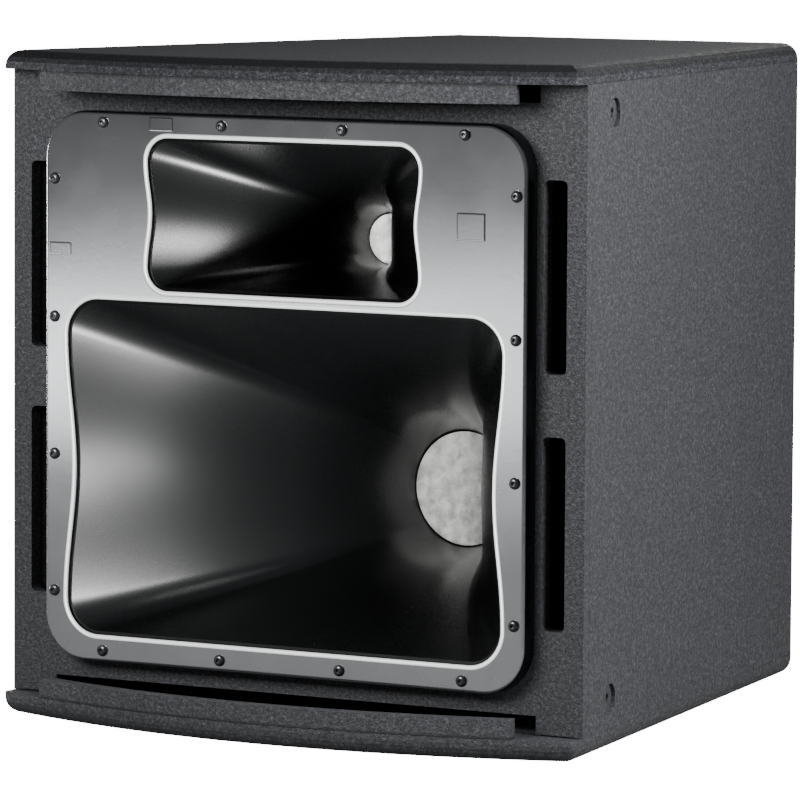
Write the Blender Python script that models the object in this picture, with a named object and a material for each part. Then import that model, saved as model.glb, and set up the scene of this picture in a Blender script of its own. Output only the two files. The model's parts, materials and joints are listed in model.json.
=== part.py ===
"""Three-way installation loudspeaker: a tapered plywood cabinet with a square waveguide.

Units are metres, +Z is up and the front faces -Y. Every sub-part is one closed solid in its own
object. Inside the script, positions are measured from the cabinet frame: the middle of the
waveguide's front face, with X to the right, Y into the cabinet and Z up.
Run with: blender --background --python part.py
"""
import math
from collections import namedtuple

import bmesh
import bpy

MM = 0.001

# ---------------------------------------------------------------- driving dimensions
CABINET_DEPTH = 0.854
HALF_WIDTH = 0.3630                 # of the cabinet at its baffle
SIDE_TAPER = math.radians(9.7)      # each side closes in by this towards the back
INNER_HALF_HEIGHT = 0.348           # between the top and bottom panels, either side of Z = 0
TOP_PANEL = 0.021
BOTTOM_PANEL = 0.024
BOARD = 0.018                       # sides, baffle, rear panel and woofer board
GAP = 0.0003                        # clearance between touching pieces
BOW_OVERHANG = 0.068                # middle of the bowed panels, in front of the waveguide
CORNER_Y = 0.005                    # where the bowed edge meets the panels' sides
FRONT_CORNER_RADIUS = 0.006
SMALLEST_RADIUS = 0.001             # that a corner keeps where the rounded edge narrows it
REAR_CORNER_RADIUS = 0.020
EDGE_ROUNDING = 0.0185              # quarter round along the outer edge of top and bottom

BAFFLE_Y = 0.025                    # front face of the baffle, behind the waveguide's face
DISH_LIP = 0.003                    # the connector dish stands this far out of the back
REAR_Y = CABINET_DEPTH - BOW_OVERHANG - DISH_LIP
BOARD_HALF_HEIGHT = INNER_HALF_HEIGHT - GAP

OUTLET_HEIGHT = 0.021               # wide outlets along the top and bottom of the baffle
OUTLET_HALF_LENGTH = 0.306
SLOT_X = 0.3255                     # middle of the tall outlets at the sides
SLOT_HALF_WIDTH = 0.014
SLOT_RADIUS = 0.006
SLOTS_Z = ((0.0393, 0.2460), (-0.2354, -0.0273))
BAFFLE_EDGE_GAP = 0.0015            # shadow gap between the baffle and top and bottom panels
SHADOW_GAP_END = 0.015              # the gap closes over this length at each side
BAFFLE_OPENING = 0.279              # half side of the opening that the horns pass through
BAFFLE_OPENING_RADIUS = 0.040

BATTEN_HALF_LENGTH = 0.3005
BATTEN_THICKNESS = 0.018

FLANGE_HALF = 0.3045
FLANGE_RADIUS = 0.052
FLANGE_EDGE_ROUNDING = 0.004
FLANGE_THICKNESS = 0.0225
MOUTH_ROUNDING = 0.005
GASKET_FRONT = FLANGE_THICKNESS + GAP
GASKET_BACK = BAFFLE_Y - GAP

SCREW_PITCH = 0.1524
SCREW_RING = 0.2921                 # half side of the square of screws
SCREW_HOLE_RADIUS = 0.0032
SCREW_SIDES = 10
HOLE_SIDES = 8

HORN_WALL = 0.0035
HORN_LIP_Y = 0.0045                 # the horn's front edge, just inside the flange's rim
THROAT_PLATE = 0.008                # thickness of the plate that a driver bolts to

Horn = namedtuple("Horn", "name half_x waist_x half_z corner mouth_z throat_radius throat_z "
                          "depth plate_radius flare_x flare_z sections")
MF_HORN = Horn("mf_horn", 0.276, 0.2645, 0.1863, 0.040, -0.0888, 0.0665, -0.1348, 0.411,
               0.112, 1.50, 1.05, 8)
HF_HORN = Horn("hf_horn", 0.172, 0.1660, 0.0840, 0.026, 0.1935, 0.0285, 0.1600, 0.239,
               0.062, 1.80, 1.05, 7)
HORNS = (MF_HORN, HF_HORN)
MOUTH_STEPS = (3, 4, 5)             # points on a quarter of a mouth: side, corner, top

WOOFER_BOARD_Y = 0.548
WOOFER_CUTOUT = 0.178
LEAD_HOLE = (0.160, -0.290)         # x and z of the two lead holes in the woofer board
LEAD_HOLE_RADIUS = 0.008
LEAD_RADIUS = 0.0025

RIG_Y = 0.115                       # suspension points, along the side panels
RIG_Z = 0.315
RIG_FACE_RADIUS = 0.0157
RIG_BARREL_RADIUS = 0.0070
RIG_BORE_RADIUS = 0.0048
RIG_RECESS = 0.0062                 # depth of the wide part of its hole
RIG_FACE_DEPTH = 0.004              # its face is this far below the panel
RIG_CLEARANCE = 0.0004

DISH_Z = -0.150
DISH_FLANGE = (0.100, 0.075)        # half sizes, across and up
DISH_RECESS = (0.080, 0.055)
DISH_WALL = 0.003
DISH_DEPTH = 0.042
DISH_FLOOR_Y = REAR_Y + DISH_LIP - DISH_DEPTH
SOCKETS_X = (-0.050, -0.012)
CONTROLS_Z = DISH_Z + 0.022
SOCKET_RADIUS = 0.0118
SWITCH_X = 0.045
SWITCH_HOLE_RADIUS = 0.005
STRIP_HALF_LENGTH = 0.050
STRIP_Z = DISH_Z - 0.028
COVER_HALF_LENGTH = 0.053
COVER_HINGE_OFFSET = 0.0028         # hinge axis above the dish's floor
COVER_HINGE_Z = DISH_Z - 0.012

CROSSOVER_HALF = (0.110, 0.070)
CROSSOVER_Y = 0.680
CROSSOVER_THICKNESS = 0.009
CROSSOVER_TOP_Z = -BOARD_HALF_HEIGHT + CROSSOVER_THICKNESS

ROUND = 24                          # sides of a large round part
SMALL_ROUND = 16
FINE_ANGLE = math.radians(38)       # edges sharper than this stay sharp


# ---------------------------------------------------------------- scene and materials
def clear_scene():
    for item in list(bpy.data.objects):
        bpy.data.objects.remove(item, do_unlink=True)


def make_material(name, colour, roughness, metallic=0.0):
    material = bpy.data.materials.new(name)
    material.use_nodes = True
    shader = material.node_tree.nodes["Principled BSDF"]
    shader.inputs["Base Color"].default_value = (*colour, 1.0)
    shader.inputs["Roughness"].default_value = roughness
    shader.inputs["Metallic"].default_value = metallic
    material.diffuse_color = (*colour, 1.0)
    return material


MATERIALS = {
    # name: colour, roughness, metallic
    "textured_coating": ((0.085, 0.087, 0.092), 0.75, 0.0),
    "silver_paint": ((0.33, 0.35, 0.36), 0.35, 0.3),
    "gloss_black": ((0.012, 0.013, 0.014), 0.22, 0.0),
    "black_screw": ((0.02, 0.02, 0.022), 0.35, 0.6),
    "foam_rubber": ((0.02, 0.02, 0.02), 0.9, 0.0),
    "pale_screen": ((0.62, 0.63, 0.63), 0.8, 0.0),
    "cast_frame": ((0.06, 0.06, 0.065), 0.5, 0.5),
    "ferrite": ((0.10, 0.10, 0.11), 0.6, 0.2),
    "paper_cone": ((0.035, 0.035, 0.037), 0.85, 0.0),
    "titanium": ((0.55, 0.55, 0.57), 0.25, 1.0),
    "plywood": ((0.42, 0.29, 0.17), 0.7, 0.0),
    "copper_wire": ((0.60, 0.24, 0.11), 0.35, 1.0),
    "black_plastic": ((0.025, 0.025, 0.027), 0.5, 0.0),
    "clear_cover": ((0.30, 0.31, 0.32), 0.3, 0.0),
    "zinc_steel": ((0.35, 0.35, 0.36), 0.4, 0.9),
    "cable_jacket": ((0.03, 0.03, 0.03), 0.6, 0.0),
}


def own_material(object_name, kind):
    """Each sub-part has a material of its own, with the values of its kind."""
    return make_material(f"{object_name}_{kind}", *MATERIALS[kind])


# ---------------------------------------------------------------- outlines, as 2-D points
def circle(radius, sides, centre=(0.0, 0.0)):
    step = 2 * math.pi / sides
    return [(centre[0] + radius * math.cos(i * step), centre[1] + radius * math.sin(i * step))
            for i in range(sides)]


def fillet(polygon, radii, steps=6):
    """Rounds the polygon's corners that have a radius in radii, a dict of index: radius."""
    points = []
    count = len(polygon)
    for index, (x, y) in enumerate(polygon):
        radius = radii.get(index)
        if not radius:
            points.append((x, y))
            continue
        before = unit(polygon[index - 1][0] - x, polygon[index - 1][1] - y)
        after = unit(polygon[(index + 1) % count][0] - x, polygon[(index + 1) % count][1] - y)
        half_angle = math.acos(before[0] * after[0] + before[1] * after[1]) / 2
        middle = unit(before[0] + after[0], before[1] + after[1])
        reach = radius / math.sin(half_angle)
        centre = (x + middle[0] * reach, y + middle[1] * reach)
        tangent = radius / math.tan(half_angle)
        first = math.atan2(y + before[1] * tangent - centre[1], x + before[0] * tangent - centre[0])
        last = math.atan2(y + after[1] * tangent - centre[1], x + after[0] * tangent - centre[0])
        sweep = (last - first + math.pi) % (2 * math.pi) - math.pi
        for step in range(steps + 1):
            angle = first + sweep * step / steps
            points.append((centre[0] + radius * math.cos(angle),
                           centre[1] + radius * math.sin(angle)))
    return points


def unit(x, y):
    length = math.hypot(x, y)
    return (x / length, y / length)


def rounded_rectangle(half_x, half_y, radius, centre=(0.0, 0.0), steps=4):
    corners = [(half_x, -half_y), (half_x, half_y), (-half_x, half_y), (-half_x, -half_y)]
    corners = [(centre[0] + x, centre[1] + y) for x, y in corners]
    return fillet(corners, dict.fromkeys(range(4), radius), steps)


def offset(outline, distance):
    """Moves a counter-clockwise outline outwards; a negative distance moves it inwards."""
    moved = []
    count = len(outline)
    for index, (x, y) in enumerate(outline):
        before = unit(x - outline[index - 1][0], y - outline[index - 1][1])
        after = unit(outline[(index + 1) % count][0] - x, outline[(index + 1) % count][1] - y)
        normal = (before[1] + after[1], -before[0] - after[0])
        scale = distance / (1 + before[0] * after[0] + before[1] * after[1])
        moved.append((x + normal[0] * scale, y + normal[1] * scale))
    return moved


def upright(outline, y):
    """An outline of x and z values, standing at depth y."""
    return [(x, y, z) for x, z in outline]


def level(outline, z):
    """An outline of x and y values, lying at height z."""
    return [(x, y, z) for x, y in outline]


# ---------------------------------------------------------------- solids from rings of points
def add_rings(bm, rings):
    return [[bm.verts.new(point) for point in ring] for ring in rings]


def bridge(bm, first, second):
    """Joins two rings of vertices; a ring of one vertex makes a fan."""
    count = max(len(first), len(second))
    for i in range(count):
        j = (i + 1) % count
        if len(first) == 1:
            bm.faces.new((first[0], second[j], second[i]))
        elif len(second) == 1:
            bm.faces.new((first[i], first[j], second[0]))
        else:
            bm.faces.new((first[i], first[j], second[j], second[i]))


def fill(bm, rings):
    """Closes one flat face whose outer edge and holes are rings of vertices."""
    edges = []
    for ring in rings:
        for i, vertex in enumerate(ring):
            following = ring[(i + 1) % len(ring)]
            edges.append(bm.edges.get((vertex, following)) or bm.edges.new((vertex, following)))
    bmesh.ops.triangle_fill(bm, use_beauty=True, use_dissolve=False, edges=edges)


def stack(rings, closed=False):
    """A solid that runs through the rings; its ends are capped unless it closes on itself."""
    bm = bmesh.new()
    loops = add_rings(bm, rings)
    for first, second in zip(loops, loops[1:]):
        bridge(bm, first, second)
    if closed:
        bridge(bm, loops[-1], loops[0])
    else:
        for end in (loops[0], loops[-1]):
            if len(end) > 1:
                fill(bm, [end])
    return bm


def board(walls):
    """A plate with holes. Each wall is a list of rings from the front face to the back face;
    the first wall is the outer edge and the others are holes."""
    bm = bmesh.new()
    loops = [add_rings(bm, wall) for wall in walls]
    for wall in loops:
        for first, second in zip(wall, wall[1:]):
            bridge(bm, first, second)
    fill(bm, [wall[0] for wall in loops])
    fill(bm, [wall[-1] for wall in loops])
    return bm


def turned(profile, sides=ROUND, closed=False, axis="Y"):
    """A solid of revolution. The profile holds (radius, distance along the axis) in mm."""
    rings = []
    for radius, along in profile:
        outline = circle(radius * MM, sides) if radius else [(0.0, 0.0)]
        place = upright if axis == "Y" else level
        rings.append(place(outline, along * MM))
    return stack(rings, closed)


def add_part(name, bm, kind, parent, location=(0.0, 0.0, 0.0), rotation=(0.0, 0.0, 0.0)):
    bmesh.ops.recalc_face_normals(bm, faces=bm.faces)
    mesh = bpy.data.meshes.new(name)
    bm.to_mesh(mesh)
    bm.free()
    mesh.shade_smooth()
    mesh.set_sharp_from_angle(angle=FINE_ANGLE)
    mesh.materials.append(own_material(name, kind))
    part = bpy.data.objects.new(name, mesh)
    bpy.context.collection.objects.link(part)
    part.parent = parent
    part.location = location
    part.rotation_euler = rotation
    return part


def add_empty(name, location):
    empty = bpy.data.objects.new(name, None)
    empty.empty_display_size = 0.1
    empty.location = location
    bpy.context.collection.objects.link(empty)
    return empty


def cut(part, bm, name):
    """Cuts the solid in bm out of a part, with a Boolean modifier."""
    cutter = add_part(name, bm, "zinc_steel", part.parent)
    cutter.hide_render = True
    cutter.display_type = "WIRE"
    boolean = part.modifiers.new(name, "BOOLEAN")
    boolean.operation = "DIFFERENCE"
    boolean.solver = "EXACT"
    boolean.object = cutter
    return cutter


# ---------------------------------------------------------------- cabinet
def side_x(y, inset=0.0):
    """Half width of the cabinet at depth y, less an inset square to the side panel."""
    taper = max(0.0, y - BAFFLE_Y) * math.tan(SIDE_TAPER)
    return HALF_WIDTH - taper - inset / math.cos(SIDE_TAPER)


def bow_y(x):
    """Front edge of the top and bottom panels: a shallow bow."""
    return CORNER_Y - (CORNER_Y + BOW_OVERHANG) * (1 - (x / HALF_WIDTH) ** 2)


def panel_outline(inset):
    """Plan of the top and bottom panels, drawn in by an inset all round."""
    steps = 22
    front = [(-HALF_WIDTH + 2 * HALF_WIDTH * i / steps) for i in range(steps + 1)]
    corners = [(x, bow_y(x)) for x in front]
    corners += [(HALF_WIDTH, BAFFLE_Y), (side_x(REAR_Y), REAR_Y),
                (-side_x(REAR_Y), REAR_Y), (-HALF_WIDTH, BAFFLE_Y)]
    front_radius, rear_radius = (max(radius - inset, SMALLEST_RADIUS)
                                 for radius in (FRONT_CORNER_RADIUS, REAR_CORNER_RADIUS))
    radii = {0: front_radius, steps: front_radius, steps + 2: rear_radius, steps + 3: rear_radius}
    return fillet(offset(corners, -inset), radii, steps=5)


def add_end_panel(name, frame, up, thickness):
    """The top panel (up = 1) or the bottom panel (up = -1), with its rounded outer edge."""
    outer_z = up * (INNER_HALF_HEIGHT + thickness)
    rings = [level(panel_outline(0.0), up * INNER_HALF_HEIGHT)]
    steps = 5
    for step in range(steps + 1):
        angle = math.pi / 2 * step / steps
        inset = EDGE_ROUNDING * (1 - math.cos(angle))
        z = outer_z - up * EDGE_ROUNDING * (1 - math.sin(angle))
        rings.append(level(panel_outline(inset), z))
    add_part(name, stack(rings), "textured_coating", frame)


def add_side_panel(name, frame, side):
    front = BAFFLE_Y + BOARD + GAP
    corners = [(side_x(front), front), (side_x(REAR_Y), REAR_Y),
               (side_x(REAR_Y, BOARD), REAR_Y), (side_x(front, BOARD), front)]
    outline = [(side * x, y) for x, y in fillet(corners, {1: REAR_CORNER_RADIUS})]
    rings = [level(outline, -BOARD_HALF_HEIGHT), level(outline, BOARD_HALF_HEIGHT)]
    panel = add_part(name, stack(rings), "textured_coating", frame)
    for up in (1, -1):
        word = "upper" if up > 0 else "lower"
        socket = cut(panel, suspension_socket(), f"cutter_{name}_{word}")
        socket.location, socket.rotation_euler = suspension_place(side, up)


def suspension_place(side, up):
    """Where a suspension point sits: on the side panel's outer face, facing out of it."""
    turn = side * (SIDE_TAPER - math.pi / 2)
    return (side * side_x(RIG_Y), RIG_Y, up * RIG_Z), (0.0, 0.0, turn)


def suspension_socket():
    """The stepped hole for a suspension point; local Y points out of the panel."""
    barrel = (RIG_BARREL_RADIUS + RIG_CLEARANCE) / MM
    face = (RIG_FACE_RADIUS + RIG_CLEARANCE) / MM
    recess = RIG_RECESS / MM
    profile = [(0, -30), (barrel, -30), (barrel, -recess), (face, -recess), (face, 5), (0, 5)]
    return turned(profile, SMALL_ROUND)


def add_suspension_points(frame):
    face, barrel, bore = (r / MM for r in (RIG_FACE_RADIUS, RIG_BARREL_RADIUS, RIG_BORE_RADIUS))
    seat = -RIG_RECESS / MM + GAP / MM
    top, chamfer = -RIG_FACE_DEPTH / MM, 0.5
    profile = [(bore, top), (bore, -17), (barrel, -17), (barrel, seat), (face, seat),
               (face, top - chamfer), (face - chamfer, top)]
    for side, side_word in ((-1, "left"), (1, "right")):
        for up, word in ((1, "upper"), (-1, "lower")):
            location, rotation = suspension_place(side, up)
            add_part(f"{side_word}_suspension_point_{word}", turned(profile, SMALL_ROUND, True),
                     "zinc_steel", frame, location, rotation)


def slot_outline(side, low, high):
    return rounded_rectangle(SLOT_HALF_WIDTH, (high - low) / 2, SLOT_RADIUS,
                             (side * SLOT_X, (low + high) / 2), steps=3)


def screw_positions():
    """The sixteen flange screws, four to a side of the square, clockwise from the top left."""
    along = [SCREW_PITCH * k for k in (-1.5, -0.5, 0.5, 1.5)]
    top = [(a, SCREW_RING) for a in along]
    right = [(SCREW_RING, -a) for a in along]
    bottom = [(-a, -SCREW_RING) for a in along]
    left = [(-SCREW_RING, a) for a in along]
    return top + right + bottom + left


def screw_holes():
    return [circle(SCREW_HOLE_RADIUS, HOLE_SIDES, centre) for centre in screw_positions()]


def add_baffle(frame):
    edge = INNER_HALF_HEIGHT - BAFFLE_EDGE_GAP
    step = INNER_HALF_HEIGHT - OUTLET_HEIGHT

    def outer(y):
        wide = side_x(y)
        right_top = [(wide, 0.0), (wide, BOARD_HALF_HEIGHT), (wide - SHADOW_GAP_END, edge),
                     (OUTLET_HALF_LENGTH, edge), (OUTLET_HALF_LENGTH, step)]
        left_top = [(-x, z) for x, z in reversed(right_top)]
        upper = right_top + left_top
        return upper + [(-x, -z) for x, z in upper[1:-1]]

    back = BAFFLE_Y + BOARD
    walls = [[upright(outer(BAFFLE_Y), BAFFLE_Y), upright(outer(back), back)]]
    holes = [rounded_rectangle(BAFFLE_OPENING, BAFFLE_OPENING, BAFFLE_OPENING_RADIUS)]
    holes += [slot_outline(side, low, high) for side in (-1, 1) for low, high in SLOTS_Z]
    holes += screw_holes()
    walls += [[upright(hole, BAFFLE_Y), upright(hole, back)] for hole in holes]
    add_part("front_baffle", board(walls), "textured_coating", frame)


def tapered_board(y_front, y_back, holes):
    """A board across the inside of the cabinet, between the two side panels."""
    walls = []
    corners = ((1, -1), (1, 1), (-1, 1), (-1, -1))
    edge = [[(sx * side_x(y, BOARD + GAP), y, sz * BOARD_HALF_HEIGHT) for sx, sz in corners]
            for y in (y_front, y_back)]
    walls.append(edge)
    walls += [[upright(hole, y_front), upright(hole, y_back)] for hole in holes]
    return board(walls)


def add_inner_boards(frame):
    dish_opening = rounded_rectangle(DISH_RECESS[0] + DISH_WALL + GAP, DISH_RECESS[1] + DISH_WALL + GAP,
                                     0.008, (0.0, DISH_Z))
    rear = tapered_board(REAR_Y - BOARD, REAR_Y, [dish_opening])
    add_part("rear_panel", rear, "textured_coating", frame)
    holes = [circle(WOOFER_CUTOUT, ROUND)]
    holes += [circle(LEAD_HOLE_RADIUS, SMALL_ROUND // 2, (side * LEAD_HOLE[0], LEAD_HOLE[1]))
              for side in (-1, 1)]
    woofer_board = tapered_board(WOOFER_BOARD_Y, WOOFER_BOARD_Y + BOARD, holes)
    add_part("woofer_board", woofer_board, "textured_coating", frame)


def add_batten(name, frame, up):
    """A bowed bar flush with the front edge of the top or bottom panel, cut square to the bow."""
    steps = 20
    front, back = [], []
    for i in range(steps + 1):
        x = -BATTEN_HALF_LENGTH + 2 * BATTEN_HALF_LENGTH * i / steps
        y = bow_y(x)
        slope = 2 * (CORNER_Y + BOW_OVERHANG) * x / HALF_WIDTH ** 2
        inward = unit(-slope, 1.0)
        front.append((x, y))
        back.append((x + inward[0] * BATTEN_THICKNESS, y + inward[1] * BATTEN_THICKNESS))
    outline = front + back[::-1]
    near, far = up * BOARD_HALF_HEIGHT, up * (INNER_HALF_HEIGHT - OUTLET_HEIGHT)
    add_part(name, stack([level(outline, near), level(outline, far)]), "textured_coating", frame)


# ---------------------------------------------------------------- waveguide
def mouth_outline(horn):
    """The horn's mouth about its middle: a rounded rectangle whose sides are waisted."""
    side_steps, corner_steps, top_steps = MOUTH_STEPS
    straight = horn.half_z - horn.corner
    quarter = []
    for i in range(side_steps):
        z = straight * i / side_steps
        bulge = (horn.half_x - horn.waist_x) * (1 - math.cos(math.pi * z / straight)) / 2
        quarter.append((horn.waist_x + bulge, z))
    for i in range(corner_steps):
        angle = math.pi / 2 * i / corner_steps
        quarter.append((horn.half_x - horn.corner + horn.corner * math.cos(angle),
                        straight + horn.corner * math.sin(angle)))
    for i in range(top_steps):
        quarter.append(((horn.half_x - horn.corner) * (1 - i / top_steps), horn.half_z))
    top = (0.0, horn.half_z)
    left = [(-x, z) for x, z in reversed(quarter)]
    upper = quarter + [top] + left
    return upper + [(-x, -z) for x, z in upper[1:-1]]


def shifted(outline, z):
    return [(x, height + z) for x, height in outline]


def circle_like(outline, radius):
    """A circle whose points lie in the same directions as those of the outline."""
    return [(radius * unit(x, z)[0], radius * unit(x, z)[1]) for x, z in outline]


def horn_section(horn, y):
    """Inner outline of the horn at depth y, between its mouth and its round throat. The horn
    widens by flare_x and grows taller by flare_z; above 1, it opens faster near its mouth."""
    mouth = offset(mouth_outline(horn), -(GAP + HORN_WALL))
    throat = circle_like(mouth, horn.throat_radius)
    along = max(0.0, (horn.depth - y) / (horn.depth - HORN_LIP_Y))
    across, up = along ** horn.flare_x, along ** horn.flare_z
    centre_z = horn.throat_z + (horn.mouth_z - horn.throat_z) * up
    blended = [(a[0] * (1 - across) + b[0] * across, a[1] * (1 - up) + b[1] * up)
               for a, b in zip(throat, mouth)]
    return shifted(blended, centre_z)


def add_horn(horn, frame):
    """A thin flared shell that ends in a round plate for its driver."""
    last = horn.depth - THROAT_PLATE
    depths = [HORN_LIP_Y + (last - HORN_LIP_Y) * i / horn.sections
              for i in range(horn.sections + 1)]
    inner = [upright(horn_section(horn, y), y) for y in depths + [horn.depth]]
    plate = shifted(circle_like(mouth_outline(horn), horn.plate_radius), horn.throat_z)
    rim = [upright(plate, horn.depth), upright(plate, last)]
    outer = [upright(offset(horn_section(horn, y), HORN_WALL), y) for y in reversed(depths)]
    add_part(horn.name, stack(inner + rim + outer, closed=True), "gloss_black", frame)


def rounded_rim(outline, radius, steps, back_y, grows):
    """Rings of an edge with a quarter round at the front; grows is 1 for a hole, -1 for an
    outer edge."""
    rings = []
    for step in range(steps + 1):
        angle = math.pi / 2 * step / steps
        rings.append(upright(offset(outline, grows * radius * (1 - math.sin(angle))),
                             radius * (1 - math.cos(angle))))
    rings.append(upright(outline, back_y))
    return rings


def add_waveguide_flange(frame):
    outer = rounded_rectangle(FLANGE_HALF, FLANGE_HALF, FLANGE_RADIUS, steps=8)
    walls = [rounded_rim(outer, FLANGE_EDGE_ROUNDING, 3, FLANGE_THICKNESS, -1)]
    for horn in HORNS:
        mouth = shifted(mouth_outline(horn), horn.mouth_z)
        walls.append(rounded_rim(mouth, MOUTH_ROUNDING, 4, FLANGE_THICKNESS, 1))
    walls += [[upright(hole, 0.0), upright(hole, FLANGE_THICKNESS)] for hole in screw_holes()]
    add_part("waveguide_flange", board(walls), "silver_paint", frame)


def add_gasket(frame):
    outer = rounded_rectangle(0.3020, 0.3020, 0.049, steps=5)
    inner = rounded_rectangle(0.2815, 0.2815, 0.042, steps=5)
    walls = [[upright(loop, GASKET_FRONT), upright(loop, GASKET_BACK)]
             for loop in [outer, inner] + screw_holes()]
    add_part("waveguide_gasket", board(walls), "foam_rubber", frame)


def add_flange_screws(frame):
    """Dome-head screws with a socket in the head; local Y runs into the flange."""
    profile = [(0, 38), (2.4, 38), (2.4, -0.3), (6.5, -0.3), (5.4, -3.3), (2.3, -4.2),
               (2.3, -1.8), (0, -1.8)]
    for number, (x, z) in enumerate(screw_positions(), start=1):
        add_part(f"flange_screw_{number:02d}", turned(profile, SCREW_SIDES), "black_screw",
                 frame, (x, 0.0, z))


# ---------------------------------------------------------------- drivers, turned about Y
def add_turned_parts(frame, location, parts):
    """parts holds (name, kind, profile in mm, whether the profile closes into a ring)."""
    for name, kind, profile, closed in parts:
        add_part(name, turned(profile, ROUND, closed), kind, frame, location)


def add_hf_driver(frame):
    parts = [
        ("hf_throat_screen", "pale_screen", [(0, -3.0), (27.2, -3.0), (27.2, 0), (0, 0)], False),
        ("hf_driver_body", "ferrite",
         [(25.5, 0.3), (60, 0.3), (70, 6), (70, 58), (45, 58), (45, 54), (41, 54), (25, 16)], True),
        ("hf_phase_plug", "cast_frame", [(0, 22), (8, 30), (34, 53), (34, 57), (0, 57)], False),
        ("hf_diaphragm", "titanium",
         [(0, 71), (14, 69.6), (28, 65.5), (38, 60.5), (42, 59.3), (42, 60.1), (38.3, 61.4),
          (28.3, 66.4), (14.1, 70.5), (0, 71.9)], False),
        ("hf_rear_cover", "cast_frame",
         [(0, 84), (46, 84), (48, 58.3), (70, 58.3), (70, 92), (62, 100), (0, 100)], False),
    ]
    add_turned_parts(frame, (0.0, HF_HORN.depth, HF_HORN.throat_z), parts)


def add_mf_driver(frame):
    parts = [
        ("mf_throat_screen", "pale_screen", [(0, -3.0), (63.3, -3.0), (63.3, 0), (0, 0)], False),
        ("mf_phase_plug", "black_plastic",
         [(0, 0.3), (20, 0.3), (46, 6), (58, 13), (57, 21), (20, 43), (18, 47), (18, 59.7),
          (0, 59.7)], False),
        ("mf_basket", "cast_frame",
         [(92, 0.3), (112, 0.3), (112, 6), (102, 9), (80, 60), (78, 65.7), (44, 65.7),
          (44, 59.7), (72, 59.7), (92, 12)], True),
        ("mf_cone", "paper_cone",
         [(24.5, 50), (28, 50), (86, 14), (88, 14), (88, 15.4), (29, 52), (26, 53.5), (26, 88),
          (24.5, 88)], True),
        ("mf_magnet", "ferrite",
         [(0, 60), (22, 60), (22, 94), (29, 94), (29, 66), (75, 66), (75, 74), (84, 74),
          (84, 100), (78, 100), (78, 110), (0, 110)], False),
    ]
    add_turned_parts(frame, (0.0, MF_HORN.depth, MF_HORN.throat_z), parts)


def add_woofer(frame):
    parts = [
        ("woofer_basket", "cast_frame",
         [(168, -6.3), (193, -6.3), (193, -0.3), (175.5, -0.3), (174, 20), (92, 80), (92, 86.7),
          (60, 86.7), (60, 80.7), (84, 80.7), (166, 18), (168, 10)], True),
        ("woofer_surround", "foam_rubber",
         [(151.5, 1), (153, -4), (159.5, -7.5), (166, -4), (167.4, 1), (165, 1), (163.8, -2.6),
          (159.5, -5), (155.2, -2.6), (154, 1)], True),
        ("woofer_cone", "paper_cone",
         [(0, 44), (20, 46.4), (37, 54), (40, 58), (150, 2), (150, 4.6), (41.5, 61.5),
          (39.4, 64), (39.4, 107), (37.8, 107), (37.8, 60), (35.5, 56.4), (19.6, 49), (0, 46.6)],
         False),
        ("woofer_magnet", "ferrite",
         [(0, 70), (35, 70), (35, 116), (42.5, 116), (42.5, 87), (80, 87), (80, 97), (96, 97),
          (96, 131), (90, 131), (90, 143), (0, 143)], False),
    ]
    add_turned_parts(frame, (0.0, WOOFER_BOARD_Y, 0.0), parts)


# ---------------------------------------------------------------- crossover and leads
def add_crossover(frame):
    half_x, half_y = CROSSOVER_HALF
    base = rounded_rectangle(half_x, half_y, 0.004, (0.0, CROSSOVER_Y), steps=1)
    rings = [level(base, -BOARD_HALF_HEIGHT), level(base, CROSSOVER_TOP_Z)]
    add_part("crossover_board", stack(rings), "plywood", frame)
    top = CROSSOVER_TOP_Z + GAP
    coil = [(13, 0), (34, 0), (34, 3), (31, 4), (31, 26), (34, 27), (34, 30), (13, 30)]
    add_part("crossover_inductor", turned(coil, SMALL_ROUND, True, axis="Z"), "copper_wire",
             frame, (-0.050, CROSSOVER_Y + 0.015, top))
    can = [(0, 0), (15, 0), (17, 2), (17, 58), (15, 60), (0, 60)]
    add_part("crossover_capacitor", turned(can, SMALL_ROUND), "black_plastic", frame,
             (0.035, CROSSOVER_Y - 0.020, top + 0.017))


def add_lead(name, frame, points):
    """An internal lead, as a round tube through its points."""
    curve = bpy.data.curves.new(name, "CURVE")
    curve.dimensions = "3D"
    curve.bevel_depth = LEAD_RADIUS
    curve.bevel_resolution = 1
    curve.resolution_u = 4
    curve.use_fill_caps = True
    spline = curve.splines.new("BEZIER")
    spline.bezier_points.add(len(points) - 1)
    for knot, point in zip(spline.bezier_points, points):
        knot.co = point
        knot.handle_left_type = "AUTO"
        knot.handle_right_type = "AUTO"
    curve.materials.append(own_material(name, "cable_jacket"))
    lead = bpy.data.objects.new(name, curve)
    bpy.context.collection.objects.link(lead)
    lead.parent = frame


def through_lead_hole(side):
    """Points that run straight through one of the two lead holes, from back to front."""
    back = WOOFER_BOARD_Y + BOARD
    depths = (back + 0.040, back + 0.008, WOOFER_BOARD_Y - 0.008, WOOFER_BOARD_Y - 0.040)
    return [(side * LEAD_HOLE[0], y, LEAD_HOLE[1]) for y in depths]


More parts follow.
